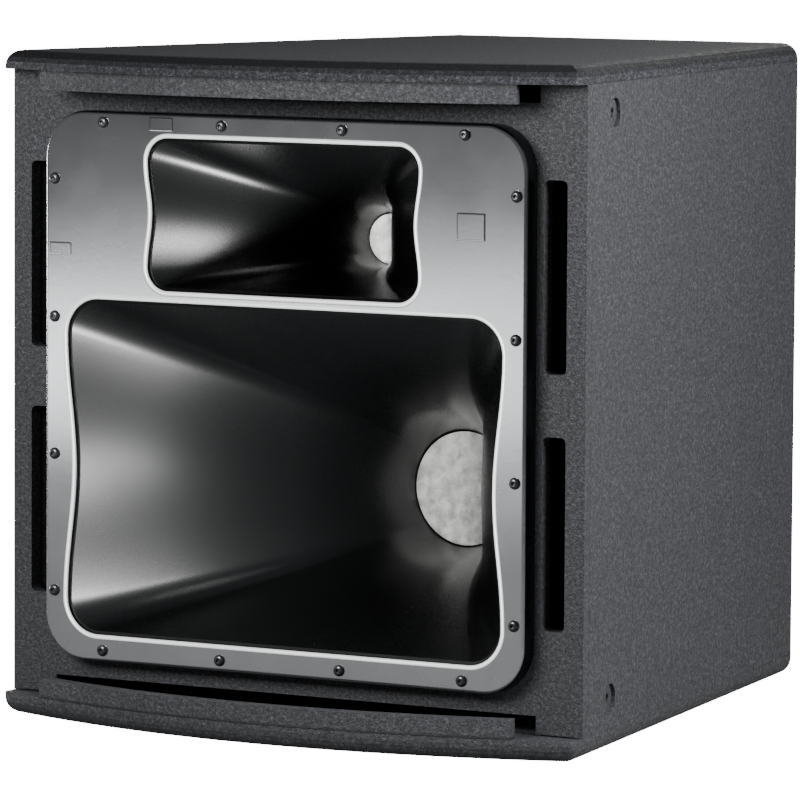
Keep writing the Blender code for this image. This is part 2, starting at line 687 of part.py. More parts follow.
def add_leads(frame):
    """Leads from the crossover to the terminals on each driver."""
    start_z = CROSSOVER_TOP_Z + GAP
    basket_side = -0.092 - 2 * GAP
    magnet_side = MF_HORN.throat_z - 0.084 - 2 * GAP
    body_side = 0.070 + 2 * GAP
    add_lead("woofer_lead", frame,
             [(0.085, 0.720, start_z), (0.085, 0.720, -0.290), (0.050, 0.660, -0.180),
              (0.0, 0.6315, -0.130), (0.0, 0.6315, basket_side)])
    add_lead("mf_lead", frame,
             [(-0.095, 0.640, start_z), (-0.095, 0.640, -0.310)] + through_lead_hole(-1)
             + [(-0.060, 0.498, -0.275), (0.0, 0.498, -0.250), (0.0, 0.498, magnet_side)])
    add_lead("hf_lead", frame,
             [(0.095, 0.625, start_z), (0.095, 0.625, -0.310)] + through_lead_hole(1)
             + [(0.200, 0.450, -0.100), (0.170, 0.350, 0.080),
                (0.110, 0.275, HF_HORN.throat_z), (body_side, 0.275, HF_HORN.throat_z)])


# ---------------------------------------------------------------- connector dish
def add_input_dish(frame):
    def loop(half, grow, y):
        return upright(rounded_rectangle(half[0] + grow, half[1] + grow, 0.006 + grow,
                                         (0.0, DISH_Z)), y)

    lip_y = REAR_Y + DISH_LIP
    under_y = REAR_Y + GAP
    floor_back = DISH_FLOOR_Y - DISH_WALL
    bm = bmesh.new()
    shell = add_rings(bm, [
        loop(DISH_RECESS, 0.0, DISH_FLOOR_Y), loop(DISH_RECESS, 0.0, lip_y),
        loop(DISH_FLANGE, -0.001, lip_y), loop(DISH_FLANGE, 0.0, lip_y - 0.001),
        loop(DISH_FLANGE, 0.0, under_y), loop(DISH_RECESS, DISH_WALL, under_y),
        loop(DISH_RECESS, DISH_WALL, floor_back)])
    for first, second in zip(shell, shell[1:]):
        bridge(bm, first, second)
    hole_outlines = [circle(SOCKET_RADIUS + 2 * GAP, SMALL_ROUND, (x, CONTROLS_Z)) for x in SOCKETS_X]
    hole_outlines.append(circle(SWITCH_HOLE_RADIUS, SMALL_ROUND, (SWITCH_X, CONTROLS_Z)))
    holes = [add_rings(bm, [upright(hole, DISH_FLOOR_Y), upright(hole, floor_back)])
             for hole in hole_outlines]
    for near, far in holes:
        bridge(bm, near, far)
    fill(bm, [shell[0]] + [near for near, far in holes])
    fill(bm, [shell[-1]] + [far for near, far in holes])
    add_part("input_dish", bm, "black_plastic", frame)


def add_speaker_sockets(frame):
    """Four-pole twist-lock sockets; local Y points out of the back of the cabinet."""
    round_like = circle(1.0, SMALL_ROUND)
    plate = square_like(round_like, 0.0130, 0.0155)

    def ring(radius, y):
        return upright([(x * radius, z * radius) for x, z in round_like], y)

    rings = [ring(SOCKET_RADIUS, -0.025), ring(SOCKET_RADIUS, GAP), upright(plate, GAP),
             upright(plate, 0.0025), ring(0.0115, 0.0025), ring(0.0115, 0.0045),
             ring(0.0098, 0.0045), ring(0.0098, -0.018), ring(0.0030, -0.018),
             ring(0.0030, 0.0030)]
    for word, x in zip(("left", "right"), SOCKETS_X):
        add_part(f"speaker_socket_{word}", stack(rings), "black_plastic", frame,
                 (x, DISH_FLOOR_Y, CONTROLS_Z))


def square_like(outline, half_x, half_z):
    """A rectangle whose points lie in the same directions as those of a round outline."""
    points = []
    for x, z in outline:
        scale = min(half_x / max(abs(x), 1e-9), half_z / max(abs(z), 1e-9))
        points.append((x * scale, z * scale))
    return points


def add_mode_switch(frame):
    """A two-position rotary switch: its body behind the dish and its knob with a grip bar."""
    round_like = circle(1.0, SMALL_ROUND)

    def ring(radius, y):
        return upright([(x * radius, z * radius) for x, z in round_like], y)

    case = square_like(round_like, 0.014, 0.014)
    front = -DISH_WALL - GAP
    body = [upright(case, front - 0.024), upright(case, front), ring(0.0035, front),
            ring(0.0035, front - 0.010)]
    place = (SWITCH_X, DISH_FLOOR_Y, CONTROLS_Z)
    add_part("mode_switch_body", stack(body), "black_plastic", frame, place)
    grip = square_like(round_like, 0.0095, 0.0030)
    knob = [ring(0.003, front - 0.008), ring(0.003, 0.001), ring(0.011, 0.001),
            ring(0.011, 0.004), upright(grip, 0.004), upright(grip, 0.014)]
    add_part("mode_switch_knob", stack(knob), "black_plastic", frame, place)


def add_terminal_strip(frame):
    """A barrier strip: a base with seven upright fences between its terminals."""
    fences = 7
    pitch = 2 * STRIP_HALF_LENGTH / (fences - 1)
    fence = 0.0012
    low, high = GAP, 0.008
    section = [(-STRIP_HALF_LENGTH - fence, low)]
    for i in range(fences):
        x = -STRIP_HALF_LENGTH + i * pitch
        section += [(x - fence, high), (x - fence, 0.014), (x + fence, 0.014), (x + fence, high)]
    section += [(STRIP_HALF_LENGTH + fence, low)]
    section = section[:1] + section[2:-2] + section[-1:]
    rings = [[(x, y, z) for x, y in section] for z in (-0.011, 0.011)]
    add_part("terminal_strip", stack(rings), "black_plastic", frame, (0.0, DISH_FLOOR_Y, STRIP_Z))


def add_terminal_cover(frame):
    """The flap over the barrier strip. Its hinge barrel lies along local X."""
    barrel = 0.0022
    wall = 0.0015
    reach, drop = 0.0175, -0.0335
    arc = [(barrel * math.cos(a), barrel * math.sin(a))
           for a in (math.radians(d) for d in (25, -20, -65, -110, -155, -200, -245, -270))]
    section = arc + [(reach, barrel), (reach, drop), (0.0050, drop), (0.0050, drop + wall),
                     (reach - wall, drop + wall), (reach - wall, barrel * math.sin(math.radians(25)))]
    rings = [[(x, y, z) for y, z in section] for x in (-COVER_HALF_LENGTH, COVER_HALF_LENGTH)]
    add_part("terminal_cover", stack(rings), "clear_cover", frame,
             (0.0, DISH_FLOOR_Y + COVER_HINGE_OFFSET, COVER_HINGE_Z))


# ---------------------------------------------------------------- the whole loudspeaker
def build():
    clear_scene()
    frame = add_empty("cabinet_frame",
                      (0.0, -CABINET_DEPTH / 2 + BOW_OVERHANG, INNER_HALF_HEIGHT + BOTTOM_PANEL))
    add_end_panel("top_panel", frame, 1, TOP_PANEL)
    add_end_panel("bottom_panel", frame, -1, BOTTOM_PANEL)
    add_side_panel("left_side_panel", frame, -1)
    add_side_panel("right_side_panel", frame, 1)
    add_suspension_points(frame)
    add_baffle(frame)
    add_inner_boards(frame)
    add_batten("top_grille_batten", frame, 1)
    add_batten("bottom_grille_batten", frame, -1)
    for horn in HORNS:
        add_horn(horn, frame)
    add_waveguide_flange(frame)
    add_gasket(frame)
    add_flange_screws(frame)
    add_hf_driver(frame)
    add_mf_driver(frame)
    add_woofer(frame)
    add_crossover(frame)
    add_leads(frame)
    add_input_dish(frame)
    add_speaker_sockets(frame)
    add_mode_switch(frame)
    add_terminal_strip(frame)
    add_terminal_cover(frame)


build()
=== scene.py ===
"""Looks of the three-way installation loudspeaker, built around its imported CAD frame.

Lengths are in metres in the frame's own axes: +Z up, the horns face -Y. Shapes are drawn from
the middle of the waveguide's front face, as x, depth into the cabinet and height.
"""
import json
import math
from collections import namedtuple

import bmesh
import bpy
from mathutils import Matrix, Vector


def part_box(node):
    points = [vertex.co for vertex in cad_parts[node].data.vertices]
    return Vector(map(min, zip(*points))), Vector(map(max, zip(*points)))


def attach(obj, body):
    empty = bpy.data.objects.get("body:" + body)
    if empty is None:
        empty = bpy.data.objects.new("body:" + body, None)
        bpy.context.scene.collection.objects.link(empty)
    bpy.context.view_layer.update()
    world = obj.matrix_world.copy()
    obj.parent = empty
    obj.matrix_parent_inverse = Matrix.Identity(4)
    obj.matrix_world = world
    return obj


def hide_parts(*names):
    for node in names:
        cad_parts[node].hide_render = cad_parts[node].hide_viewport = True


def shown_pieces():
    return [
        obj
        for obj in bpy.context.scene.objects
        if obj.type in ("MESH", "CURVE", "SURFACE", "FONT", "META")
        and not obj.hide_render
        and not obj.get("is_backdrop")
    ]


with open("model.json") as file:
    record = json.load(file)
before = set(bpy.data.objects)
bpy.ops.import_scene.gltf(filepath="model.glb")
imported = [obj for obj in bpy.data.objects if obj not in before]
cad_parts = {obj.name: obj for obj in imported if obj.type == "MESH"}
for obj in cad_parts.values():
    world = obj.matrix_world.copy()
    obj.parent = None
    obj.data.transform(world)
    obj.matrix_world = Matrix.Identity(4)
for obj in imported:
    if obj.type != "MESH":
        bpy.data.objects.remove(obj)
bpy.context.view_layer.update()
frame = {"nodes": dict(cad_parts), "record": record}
NODES = frame["nodes"]
CABINET = "cabinet"
MM = 0.001
ROUND = 48                          # sides of a round piece
SHARP_ANGLE = math.radians(35)      # edges that turn further than this are drawn sharp
BOLT_SHARP_ANGLE = math.radians(40)

FLANGE_LOW, FLANGE_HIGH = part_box("waveguide_flange")
ORIGIN = Vector((0.0, FLANGE_LOW.y, (FLANGE_LOW.z + FLANGE_HIGH.z) / 2))


# ---------------------------------------------------------------- shader nodes
class Shader:
    """A material whose patterns come from its object's own coordinates, in metres.

    noise takes cells per metre; spread maps one range onto another and holds the ends.
    """

    def __init__(self, name):
        self.material = bpy.data.materials.new(name)
        self.material.use_nodes = True
        self.tree = self.material.node_tree
        self.surface = self.tree.nodes["Principled BSDF"]
        self.place = self.add("ShaderNodeTexCoord").outputs["Object"]

    def add(self, kind, inputs=None, **settings):
        node = self.tree.nodes.new(kind)
        for key, value in settings.items():
            setattr(node, key, value)
        for key, value in (inputs or {}).items():
            self.feed(node.inputs[key], value)
        return node

    def feed(self, socket, value):
        if isinstance(value, bpy.types.NodeSocket):
            self.tree.links.new(value, socket)
        elif isinstance(value, tuple) and len(value) == 3 and socket.type == "RGBA":
            socket.default_value = (*value, 1.0)
        else:
            socket.default_value = value

    def axis(self, which, output="Object"):
        """One component of the object's own coordinates or normal."""
        source = self.add("ShaderNodeTexCoord").outputs[output]
        return self.add("ShaderNodeSeparateXYZ", {"Vector": source}).outputs[which]

    def stretched(self, scale):
        """The object's coordinates, scaled by a different amount along each axis."""
        return self.add("ShaderNodeMapping", {"Vector": self.place, "Scale": scale}).outputs[0]

    def noise(self, scale, detail=3.0, roughness=0.55, distortion=0.0, place=None):
        node = self.add("ShaderNodeTexNoise", {
            "Vector": place or self.place, "Scale": scale, "Detail": detail,
            "Roughness": roughness, "Distortion": distortion})
        return node.outputs["Fac"]

    def spread(self, value, low, high, to_low, to_high):
        """Maps low..high onto to_low..to_high, and holds the ends."""
        node = self.add("ShaderNodeMapRange", {
            "Value": value, "From Min": low, "From Max": high, "To Min": to_low,
            "To Max": to_high}, clamp=True)
        return node.outputs["Result"]

    def combine(self, first, second, operation="ADD"):
        """A maths node on two numbers or sockets; ABSOLUTE reads only the first."""
        node = self.add("ShaderNodeMath", operation=operation)
        self.feed(node.inputs[0], first)
        self.feed(node.inputs[1], second)
        return node.outputs[0]

    def blend(self, factor, first, second):
        node = self.add("ShaderNodeMix", data_type="RGBA")
        self.feed(node.inputs["Factor"], factor)
        colours = [socket for socket in node.inputs if socket.type == "RGBA"]
        self.feed(colours[0], first)
        self.feed(colours[1], second)
        return next(socket for socket in node.outputs if socket.type == "RGBA")

    def finish(self, colour, roughness, height=None, depth=0.0002, **fixed):
        self.feed(self.surface.inputs["Base Color"], colour)
        self.feed(self.surface.inputs["Roughness"], roughness)
        if height is not None:
            bump = self.add("ShaderNodeBump", {
                "Height": height, "Distance": depth, "Strength": 1.0})
            self.feed(self.surface.inputs["Normal"], bump.outputs[0])
        for key, value in fixed.items():
            self.feed(self.surface.inputs[key.replace("_", " ")], value)
        return self.material


def speckled(name, dark, light, fleck, grain, roughness, depth, cloud, metallic=0.0):
    """A coloured surface with a fine grain, a slow change of tone and small paler flecks."""
    shader = Shader(name)
    fine = shader.noise(grain, 3.0, 0.6)
    slow = shader.noise(cloud, 2.0)
    tone = shader.combine(shader.spread(fine, 0.35, 0.65, 0.0, 0.75),
                      shader.spread(slow, 0.35, 0.65, 0.0, 0.25))
    base = shader.blend(tone, dark, light)
    spots = shader.spread(shader.noise(grain * 1.3, 2.0, 0.7), 0.58, 0.72, 0.0, 1.0)
    colour = shader.blend(spots, base, fleck)
    rough = shader.spread(fine, 0.3, 0.7, *roughness)
    return shader.finish(colour, rough, fine, depth, Metallic=metallic, Specular_IOR_Level=0.5)


def coating(name, panel=False, joint=None, bore=False):
    """Hard textured paint: tight pebbles with paler crests.

    Painted shade darkens the top panel's round-over, a batten along its joint and an insert in its
    bore.
    """
    shader = Shader(name)
    drawn = shader.stretched((1.0, 0.65, 1.0))
    pebble = shader.noise(540.0, 2.0, 0.6, place=drawn)
    broad = shader.noise(235.0, 2.0, 0.5, place=drawn)
    slow = shader.noise(5.0, 2.0)
    height = shader.combine(pebble, shader.combine(broad, 0.8, "MULTIPLY"))
    tone = shader.spread(height, 0.74, 1.06, 0.0, 1.0)
    base = shader.blend(tone, (0.0130, 0.0136, 0.0153), (0.0395, 0.0414, 0.0466))
    crest = shader.spread(height, 1.04, 1.18, 0.0, 1.0)
    colour = shader.blend(crest, base, (0.074, 0.077, 0.084))
    shade = shader.spread(slow, 0.3, 0.7, 0.0, 0.16)
    colour = shader.blend(shade, colour, (0.020, 0.0205, 0.0225))
    if panel:
        # Painted shade: the round-over, between the upright sides and the flat faces, is darkened to
        # near black; the flat faces get a more even tone.
        steep = shader.combine(shader.axis("Z", "Normal"), 0.0, "ABSOLUTE")
        rounding = shader.combine(shader.spread(steep, 0.20, 0.60, 0.0, 1.0),
                              shader.spread(steep, 0.985, 0.9995, 1.0, 0.0), "MULTIPLY")
        roundover_painted_shade = shader.combine(rounding, 0.92, "MULTIPLY")
        colour = shader.blend(roundover_painted_shade, colour, (0.0055, 0.0057, 0.0062))
        flat = shader.spread(steep, 0.98, 0.999, 0.0, 0.7)
        colour = shader.blend(flat, colour, (0.0255, 0.0262, 0.0280))
    if joint:
        # Painted shade: a near-black strip on the batten along its joint with the panel.
        painted_shade = shader.spread(shader.axis("Z"), *joint, 0.0, 1.0)
        colour = shader.blend(painted_shade, colour, (0.0012, 0.0012, 0.0014))
    if bore:
        # Painted shade: the inside of the threaded bore is drawn near black.
        across = shader.combine(shader.combine(shader.axis("X"), 2.0, "POWER"),
                            shader.combine(shader.axis("Z"), 2.0, "POWER"))
        painted_shade = shader.spread(across, 0.0050 ** 2, 0.0056 ** 2, 0.97, 0.0)
        colour = shader.blend(painted_shade, colour, (0.0006, 0.0006, 0.0007))
    rough = shader.spread(height, 0.7, 1.2, 0.72, 0.48)
    return shader.finish(colour, rough, height, 0.0008, Specular_IOR_Level=0.1 if panel else 0.4)


def silver():
    """Satin silver paint on the waveguide's face; from about a millimetre behind the face its colour
    turns near black, so its side wall is dark.
    """
    shader = Shader("silver_paint")
    flake = shader.noise(2600.0, 1.0, 0.5)
    peel = shader.noise(160.0, 2.0, 0.5)
    slow = shader.noise(7.0, 3.0, 0.55)
    tone = shader.combine(shader.spread(flake, 0.3, 0.7, 0.0, 0.5),
                      shader.spread(slow, 0.3, 0.7, 0.0, 0.5))
    colour = shader.blend(tone, (0.36, 0.375, 0.385), (0.46, 0.475, 0.485))
    # Near black from 0.8 to 2.8 mm behind the face, which darkens the side wall.
    wall = shader.spread(shader.axis("Y"), 0.0008, 0.0028, 0.0, 0.94)
    colour = shader.blend(wall, colour, (0.010, 0.010, 0.011))
    rough = shader.spread(slow, 0.3, 0.7, 0.24, 0.30)
    return shader.finish(colour, rough, peel, 0.00004, Metallic=0.9)


def bright_rim():
    """Near-white finish on the rolled edge of the mouths: a painted highlight along the lip."""
    shader = Shader("bright_rim")
    streak = shader.noise(90.0, 3.0, 0.6)
    fine = shader.noise(1800.0, 2.0)
    # Painted highlight: the lip's near-white colour.
    colour = shader.blend(streak, (0.72, 0.73, 0.735), (0.90, 0.905, 0.91))
    rough = shader.spread(fine, 0.3, 0.7, 0.28, 0.42)
    return shader.finish(colour, rough, fine, 0.00002, Metallic=0.25)


def horn_black():
    """Semi-gloss black moulding: faint flow marks and a little dust."""
    shader = Shader("gloss_black")
    flow = shader.noise(3.0, 3.0, 0.5, 0.6, shader.stretched((1.0, 0.35, 1.0)))
    fine = shader.noise(900.0, 2.0, 0.5)
    dust = shader.spread(shader.noise(1400.0, 1.0), 0.72, 0.80, 0.0, 0.5)
    colour = shader.blend(flow, (0.0045, 0.005, 0.0052), (0.010, 0.011, 0.0115))
    colour = shader.blend(dust, colour, (0.05, 0.05, 0.05))
    rough = shader.combine(shader.spread(flow, 0.3, 0.7, 0.24, 0.28),
                       shader.spread(fine, 0.3, 0.7, 0.0, 0.03))
    return shader.finish(colour, rough, fine, 0.00003, Specular_IOR_Level=0.6)


def screen_cloth():
    """Pale acoustic cloth behind the throat: fibres and mottled stains, with painted shade darkening
    its creases.
    """
    shader = Shader("pale_screen")
    fibre = shader.noise(420.0, 6.0, 0.75, 1.5)
    crease = shader.noise(38.0, 4.0, 0.65, 2.5)
    blot = shader.noise(70.0, 4.0, 0.6)
    colour = shader.blend(shader.spread(blot, 0.35, 0.65, 0.0, 1.0),
                          (0.34, 0.34, 0.33), (0.70, 0.70, 0.68))
    colour = shader.blend(shader.spread(fibre, 0.55, 0.75, 0.0, 0.7), colour, (0.80, 0.80, 0.78))
    # Painted shade: darker streaks along the creases.
    colour = shader.blend(shader.spread(crease, 0.58, 0.70, 0.0, 0.5), colour, (0.24, 0.24, 0.24))
    height = shader.combine(fibre, shader.combine(crease, 2.0, "MULTIPLY"))
    return shader.finish(colour, shader.spread(fibre, 0.3, 0.7, 0.75, 0.95), height, 0.0008)


def plywood():
    """Bare plywood: long grain on the faces."""
    shader = Shader("plywood")
    grain = shader.noise(14.0, 6.0, 0.7, 0.4, shader.stretched((1.0, 12.0, 14.0)))
    pores = shader.noise(90.0, 3.0, 0.6, 0.0, shader.stretched((0.6, 12.0, 12.0)))
    colour = shader.blend(shader.spread(grain, 0.3, 0.7, 0.0, 1.0),
                          (0.30, 0.19, 0.10), (0.50, 0.35, 0.21))
    colour = shader.blend(shader.spread(pores, 0.58, 0.7, 0.0, 0.6), colour, (0.16, 0.10, 0.05))
    return shader.finish(colour, shader.spread(pores, 0.3, 0.7, 0.6, 0.8), grain, 0.0003)


MATERIALS = {
    "textured_coating": coating("textured_coating"),
    "silver_paint": silver(),
    "gloss_black": horn_black(),
    "pale_screen": screen_cloth(),
    "plywood": plywood(),
    "black_screw": speckled("black_screw", (0.012, 0.012, 0.013), (0.03, 0.03, 0.032),
                            (0.10, 0.10, 0.10), 1500.0, (0.22, 0.38), 0.00004, 60.0, 0.7),
    "foam_rubber": speckled("foam_rubber", (0.008, 0.008, 0.008), (0.022, 0.022, 0.022),
                            (0.05, 0.05, 0.05), 900.0, (0.8, 0.95), 0.0004, 30.0),
    "cast_frame": speckled("cast_frame", (0.030, 0.030, 0.032), (0.07, 0.07, 0.074),
                           (0.14, 0.14, 0.14), 700.0, (0.4, 0.6), 0.0002, 20.0, 0.4),
    "ferrite": speckled("ferrite", (0.05, 0.05, 0.055), (0.11, 0.11, 0.115),
                        (0.2, 0.2, 0.2), 500.0, (0.45, 0.7), 0.0002, 20.0, 0.2),
    "paper_cone": speckled("paper_cone", (0.018, 0.018, 0.019), (0.05, 0.05, 0.052),
                           (0.11, 0.10, 0.09), 420.0, (0.7, 0.9), 0.0005, 15.0),
    "titanium": speckled("titanium", (0.42, 0.42, 0.44), (0.58, 0.58, 0.6),
                         (0.75, 0.75, 0.75), 900.0, (0.2, 0.35), 0.00002, 30.0, 1.0),
    "black_plastic": speckled("black_plastic", (0.012, 0.012, 0.013), (0.030, 0.030, 0.032),
                              (0.06, 0.06, 0.06), 1100.0, (0.42, 0.60), 0.00012, 25.0),
    "copper_wire": speckled("copper_wire", (0.40, 0.14, 0.05), (0.62, 0.26, 0.12),
                            (0.8, 0.42, 0.25), 800.0, (0.25, 0.45), 0.0002, 40.0, 1.0),
    "clear_cover": speckled("clear_cover", (0.10, 0.104, 0.108), (0.16, 0.164, 0.168),
                            (0.3, 0.3, 0.3), 500.0, (0.12, 0.25), 0.00003, 20.0),
    "zinc_steel": speckled("zinc_steel", (0.22, 0.22, 0.225), (0.36, 0.36, 0.365),
                           (0.5, 0.5, 0.5), 900.0, (0.3, 0.5), 0.00006, 60.0, 0.9),
    "cable_jacket": speckled("cable_jacket", (0.012, 0.012, 0.012), (0.035, 0.035, 0.035),
                             (0.07, 0.07, 0.07), 700.0, (0.5, 0.7), 0.0001, 30.0),
}
RIM = bright_rim()

JOINT_SHADE_HEIGHT = 0.0040                 # height of the painted shade strip where a batten meets its panel
SEAM_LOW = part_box("bottom_grille_batten")[0].z
SEAM_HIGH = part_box("top_grille_batten")[1].z
INSERT_COATING = coating("insert_coating", bore=True)
OWN_COATINGS = {
    "top_panel": coating("top_panel_coating", panel=True),
    "top_grille_batten": coating("top_batten_coating", joint=(SEAM_HIGH - JOINT_SHADE_HEIGHT, SEAM_HIGH)),
    "bottom_grille_batten": coating("bottom_batten_coating",
                                    joint=(SEAM_LOW + JOINT_SHADE_HEIGHT, SEAM_LOW)),
}

SLOT_OF = {row["node"]: row["material_slot"] for row in frame["record"]["subparts"]}
for node_name, node in NODES.items():
    for material_slot in node.material_slots:
        material_slot.material = OWN_COATINGS.get(node_name) or MATERIALS[SLOT_OF[node_name]]


# ---------------------------------------------------------------- outlines, as 2-D points
def unit(x, y):
    length = math.hypot(x, y)
    return (x / length, y / length)


def circle(radius, sides, centre=(0.0, 0.0)):
    step = 2 * math.pi / sides
    return [(centre[0] + radius * math.cos(i * step), centre[1] + radius * math.sin(i * step))
            for i in range(sides)]


def rounded_rectangle(half_x, half_y, radius, centre=(0.0, 0.0), steps=6):
    points = []
    for quadrant, (sx, sy) in enumerate(((1, 1), (-1, 1), (-1, -1), (1, -1))):
        for step in range(steps + 1):
            angle = math.pi / 2 * (quadrant + step / steps)
            points.append((centre[0] + sx * (half_x - radius) + radius * math.cos(angle),
                           centre[1] + sy * (half_y - radius) + radius * math.sin(angle)))
    return points


def offset(outline, distance):
    """Moves a counter-clockwise outline outwards; a negative distance moves it inwards."""
    moved = []
    count = len(outline)
    for index, (x, y) in enumerate(outline):
        before = unit(x - outline[index - 1][0], y - outline[index - 1][1])
        after = unit(outline[(index + 1) % count][0] - x, outline[(index + 1) % count][1] - y)
        normal = (before[1] + after[1], -before[0] - after[0])
        scale = distance / (1 + before[0] * after[0] + before[1] * after[1])
        moved.append((x + normal[0] * scale, y + normal[1] * scale))
    return moved


def upright(outline, y):
    """An outline of x and z values, standing at depth y."""
    return [(x, y, z) for x, z in outline]


def shifted(outline, z):
    return [(x, height + z) for x, height in outline]


# ---------------------------------------------------------------- solids from rings of points
def bridge(bm, first, second):
    """Joins two rings of vertices; a ring of one vertex makes a fan."""
    count = max(len(first), len(second))
    for i in range(count):
        j = (i + 1) % count
        if len(first) == 1:
            bm.faces.new((first[0], second[j], second[i]))
        elif len(second) == 1:
            bm.faces.new((first[i], first[j], second[0]))
        else:
            bm.faces.new((first[i], first[j], second[j], second[i]))


def fill(bm, rings):
    edges = []
    for ring in rings:
        for i, vertex in enumerate(ring):
            following = ring[(i + 1) % len(ring)]
            edges.append(bm.edges.get((vertex, following)) or bm.edges.new((vertex, following)))
    bmesh.ops.triangle_fill(bm, use_beauty=True, use_dissolve=False, edges=edges)


def add_rings(bm, rings):
    return [[bm.verts.new(point) for point in ring] for ring in rings]


def stack(rings, closed=False):
    """A solid that runs through the rings; its ends are capped unless it closes on itself."""
    bm = bmesh.new()
    loops = add_rings(bm, rings)
    for first, second in zip(loops, loops[1:]):
        bridge(bm, first, second)
    if closed:
        bridge(bm, loops[-1], loops[0])
    else:
        for end in (loops[0], loops[-1]):
            if len(end) > 1:
                fill(bm, [end])
    return bm


def turned(profile, sides=ROUND, closed=False):
    """A solid of revolution about Y. The profile holds (radius, distance along) in mm."""
    rings = [upright(circle(radius * MM, sides) if radius else [(0.0, 0.0)], along * MM)
             for radius, along in profile]
    return stack(rings, closed)


def add_piece(name, bm, kind, body=CABINET, replaces=(), location=(0.0, 0.0, 0.0), turn=0.0,
              finish=None):
    """A shown piece, placed from the middle of the waveguide's face, that rides on a body."""
    bmesh.ops.recalc_face_normals(bm, faces=bm.faces)
    mesh = bpy.data.meshes.new(name)
    bm.to_mesh(mesh)
    bm.free()
    mesh.shade_smooth()
    mesh.set_sharp_from_angle(angle=SHARP_ANGLE)
    mesh.materials.append(finish or MATERIALS[kind])
    return place(bpy.data.objects.new(name, mesh), kind, body, replaces, location, turn)


def place(piece, kind, body, replaces, location, turn=0.0):
    bpy.context.scene.collection.objects.link(piece)
    piece.location = ORIGIN + Vector(location)
    piece.rotation_euler = (0.0, 0.0, turn)
    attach(piece, body)
    if replaces:
        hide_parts(*replaces)
    return piece


# ---------------------------------------------------------------- waveguide and horns
GAP = 0.0003
HORN_WALL = 0.0035
HORN_LIP_Y = 0.0045
THROAT_PLATE = 0.008
FLANGE_HALF = 0.3045
FLANGE_RADIUS = 0.052
FLANGE_EDGE = 0.004
FLANGE_THICKNESS = 0.0225
MOUTH_ROUNDING = 0.005
BEAD_MIDDLE, BEAD_HALF_WIDTH = 0.0023, 0.0026
BEAD_SEAT, BEAD_HEIGHT = 0.0015, 0.0026
SCREW_PITCH = 0.1524
SCREW_RING = 0.2921
SCREW_HOLE_RADIUS = 0.0032
BOLT_SHANK, BOLT_SOCKET, BOLT_LENGTH = 2.4, 2.5, 38.0       # mm: radii and length under the head
BADGE_HEIGHT = 0.0012
SCREEN_THICKNESS = 3.0              # mm
SCREEN_RADII = (65.4, 28.0)         # mm, in the order of HORNS
FLAT_BORDER = 0.0006

Horn = namedtuple("Horn", "name half_x waist_x half_z corner mouth_z throat_radius throat_z "
                          "depth plate_radius flare_x flare_z sections")
HORNS = (
    Horn("mf_horn", 0.276, 0.2645, 0.1863, 0.040, -0.0888, 0.0665, -0.1348, 0.411, 0.112,
         1.50, 1.05, 28),
    Horn("hf_horn", 0.172, 0.1660, 0.0840, 0.026, 0.1935, 0.0285, 0.1600, 0.239, 0.062,
         1.80, 1.05, 24),
)
MOUTH_STEPS = (14, 12, 14)          # points on a quarter of a mouth: side, corner, top


def mouth_outline(horn):
    side_steps, corner_steps, top_steps = MOUTH_STEPS
    straight = horn.half_z - horn.corner
    quarter = []
    for i in range(side_steps):
        z = straight * i / side_steps
        bulge = (horn.half_x - horn.waist_x) * (1 - math.cos(math.pi * z / straight)) / 2
        quarter.append((horn.waist_x + bulge, z))
    for i in range(corner_steps):
        angle = math.pi / 2 * i / corner_steps
        quarter.append((horn.half_x - horn.corner + horn.corner * math.cos(angle),
                        straight + horn.corner * math.sin(angle)))
    for i in range(top_steps):
        quarter.append(((horn.half_x - horn.corner) * (1 - i / top_steps), horn.half_z))
    upper = quarter + [(0.0, horn.half_z)] + [(-x, z) for x, z in reversed(quarter)]
    return upper + [(-x, -z) for x, z in upper[1:-1]]


def circle_like(outline, radius):
    """A circle whose points lie in the same directions as those of the outline."""
    return [(radius * unit(x, z)[0], radius * unit(x, z)[1]) for x, z in outline]


def horn_section(horn, y):
    mouth = offset(mouth_outline(horn), -(GAP + HORN_WALL))
    throat = circle_like(mouth, horn.throat_radius)
    along = max(0.0, (horn.depth - y) / (horn.depth - HORN_LIP_Y))
    across, up = along ** horn.flare_x, along ** horn.flare_z
    centre_z = horn.throat_z + (horn.mouth_z - horn.throat_z) * up
    blended = [(a[0] * (1 - across) + b[0] * across, a[1] * (1 - up) + b[1] * up)
               for a, b in zip(throat, mouth)]
    return shifted(blended, centre_z)


def add_horn(horn):
    last = horn.depth - THROAT_PLATE
    depths = [HORN_LIP_Y + (last - HORN_LIP_Y) * i / horn.sections
              for i in range(horn.sections + 1)]
    inner = [upright(horn_section(horn, y), y) for y in depths + [horn.depth]]
    plate = shifted(circle_like(mouth_outline(horn), horn.plate_radius), horn.throat_z)
    rim = [upright(plate, horn.depth), upright(plate, last)]
    outer = [upright(offset(horn_section(horn, y), HORN_WALL), y) for y in reversed(depths)]
    add_piece(f"{horn.name}_shell", stack(inner + rim + outer, closed=True), "gloss_black",
              replaces=[horn.name])


def screw_positions():
    along = [SCREW_PITCH * k for k in (-1.5, -0.5, 0.5, 1.5)]
    top = [(a, SCREW_RING) for a in along]
    right = [(SCREW_RING, -a) for a in along]
    bottom = [(-a, -SCREW_RING) for a in along]
    left = [(-SCREW_RING, a) for a in along]
    return top + right + bottom + left


def rim_rings(outline, radius, steps, grows):
    """A rounded edge, led in by a narrow flat border that keeps the face's shading flat."""
    rings = [upright(offset(outline, grows * (radius + FLAT_BORDER)), 0.0)]
    for step in range(steps + 1):
        angle = math.pi / 2 * step / steps
        rings.append(upright(offset(outline, grows * radius * (1 - math.sin(angle))),
                             radius * (1 - math.cos(angle))))
    return rings


